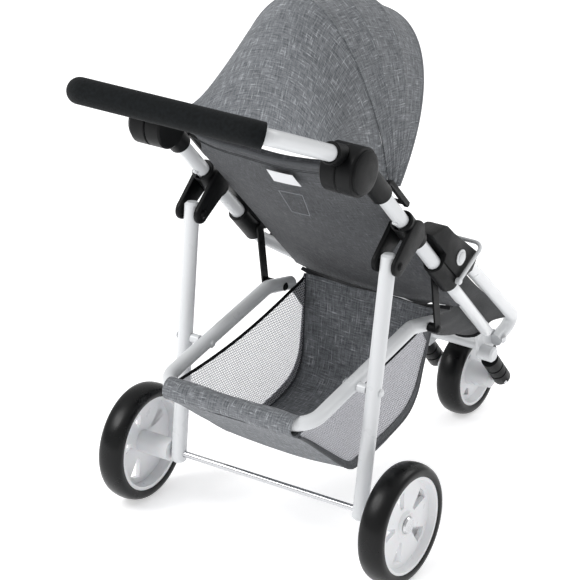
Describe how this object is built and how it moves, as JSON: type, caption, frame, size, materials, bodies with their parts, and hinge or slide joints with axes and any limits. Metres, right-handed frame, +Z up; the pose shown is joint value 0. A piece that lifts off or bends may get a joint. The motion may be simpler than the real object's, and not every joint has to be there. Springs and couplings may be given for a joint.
{
  "type": "doll stroller",
  "caption": "Three-wheeled folding doll stroller with a tilting handle, a folding hood, a reclined cloth seat and an open shopping basket under it.",
  "frame": {"origin": "on the ground, under the middle of the overall length and width", "axes": "+X to the pusher's left, -Y the way it is pushed, +Z up"},
  "size_m": [0.411, 0.7837, 0.68],
  "materials": {
    "white_paint": "satin powder paint",
    "black_plastic": "matt moulded",
    "grip_foam": "matt foam, about a tenth of solid rubber's weight",
    "tyre": "satin",
    "wheel_plastic": "satin",
    "white_plastic": "satin",
    "bright_steel": "plated",
    "seat_cloth": "melange cloth",
    "hood_cloth": "melange cloth"
  },
  "bodies": {
    "chassis": {"main_tube_right": "white_paint", "main_tube_left": "white_paint", "lower_tube_right": "white_paint", "lower_tube_left": "white_paint", "seat_rail_right": "white_paint", "seat_rail_left": "white_paint", "side_joint_right": "black_plastic", "side_joint_left": "black_plastic", "joint_button_right": "white_plastic", "joint_button_left": "white_plastic", "hinge_base_right": "black_plastic", "hinge_base_left": "black_plastic", "hood_mount_right": "black_plastic", "hood_mount_left": "black_plastic", "basket_strap_right": "bright_steel", "basket_strap_left": "bright_steel", "strap_rivet_right": "bright_steel", "strap_rivet_left": "bright_steel", "rail_bolt_right": "bright_steel", "rail_bolt_left": "bright_steel", "front_foot_right": "black_plastic", "front_foot_left": "black_plastic", "side_panel_right": "seat_cloth", "side_panel_left": "seat_cloth", "front_crown": "white_paint", "front_axle": "bright_steel", "seat_back": "seat_cloth", "seat_base": "seat_cloth", "hood_rear": "hood_cloth", "hood_back": "hood_cloth", "hood_bow_rear": "bright_steel"},
    "handle": {"handle_hub_right": "black_plastic", "handle_hub_left": "black_plastic", "handle_bar": "white_paint", "handle_grip": "grip_foam"},
    "basket_frame": {"basket_tube": "white_paint", "basket": "seat_cloth"},
    "rear_legs": {"rear_leg_right": "white_paint", "rear_leg_left": "white_paint", "leg_rivet_right": "bright_steel", "leg_rivet_left": "bright_steel", "slider_pin_right": "bright_steel", "slider_pin_left": "bright_steel", "rear_axle": "bright_steel"},
    "leg_sliders": {"leg_slider_right": "black_plastic", "leg_slider_left": "black_plastic"},
    "rear_wheel_right": {"rear_right_tyre": "tyre", "rear_right_rim": "wheel_plastic"},
    "rear_wheel_left": {"rear_left_tyre": "tyre", "rear_left_rim": "wheel_plastic"},
    "front_wheel": {"front_tyre": "tyre", "front_rim": "wheel_plastic"},
    "bumper": {"bumper_bar": "white_paint"},
    "hood_mid_section": {"hood_middle": "hood_cloth", "hood_bow_middle": "bright_steel"},
    "hood_front_section": {"hood_front": "hood_cloth", "hood_bow_front": "bright_steel"},
    "snap_right": {"snap_button_right": "white_plastic"},
    "snap_left": {"snap_button_left": "white_plastic"}
  },
  "joints": [
    {"name": "handle_tilt", "type": "hinge", "parent": "chassis", "child": "handle", "pos_m": [0, 0.20913, 0.521], "axis": [1, 0, 0], "range_deg": [-40, 40]},
    {"name": "basket_fold", "type": "hinge", "parent": "chassis", "child": "basket_frame", "pos_m": [0, -0.02287, 0.2518], "axis": [1, 0, 0], "range_deg": [0, 15]},
    {"name": "leg_fold", "type": "hinge", "parent": "basket_frame", "child": "rear_legs", "pos_m": [0, 0.13513, 0.22594], "axis": [1, 0, 0], "range_deg": [-29.8, 0]},
    {"name": "slider_fold", "type": "hinge", "parent": "rear_legs", "child": "leg_sliders", "pos_m": [0, 0.12413, 0.384], "axis": [1, 0, 0], "range_deg": [0, 14.8]},
    {"name": "rear_right_spin", "type": "hinge", "parent": "rear_legs", "child": "rear_wheel_right", "pos_m": [-0.1885, 0.14713, 0.075], "axis": [1, 0, 0], "continuous": true},
    {"name": "rear_left_spin", "type": "hinge", "parent": "rear_legs", "child": "rear_wheel_left", "pos_m": [0.1885, 0.14713, 0.075], "axis": [1, 0, 0], "continuous": true},
    {"name": "front_spin", "type": "hinge", "parent": "chassis", "child": "front_wheel", "pos_m": [0, -0.33287, 0.059], "axis": [1, 0, 0], "continuous": true},
    {"name": "bumper_swing", "type": "hinge", "parent": "chassis", "child": "bumper", "pos_m": [0, -0.01269, 0.32484], "axis": [1, 0, 0], "range_deg": [-20, 12]},
    {"name": "hood_middle_fold", "type": "hinge", "parent": "chassis", "child": "hood_mid_section", "pos_m": [0, 0.09386, 0.45019], "axis": [-1, 0, 0], "range_deg": [0, 11]},
    {"name": "hood_front_fold", "type": "hinge", "parent": "hood_mid_section", "child": "hood_front_section", "pos_m": [0, 0.09386, 0.45019], "axis": [-1, 0, 0], "range_deg": [0, 11]},
    {"name": "snap_right_press", "type": "slide", "parent": "chassis", "child": "snap_right", "axis": [0, -0.6896, 0.7242], "range_m": [0, 0.0024], "stiffness_N_per_m": 300},
    {"name": "snap_left_press", "type": "slide", "parent": "chassis", "child": "snap_left", "axis": [0, -0.6896, 0.7242], "range_m": [0, 0.0024], "stiffness_N_per_m": 300}
  ],
  "couplings": [
    {"joint": "leg_fold", "follows": "basket_fold", "ratio": -1.969},
    {"joint": "slider_fold", "follows": "basket_fold", "ratio": 0.969},
    {"joint": "hood_front_fold", "follows": "hood_middle_fold", "ratio": 1}
  ]
}
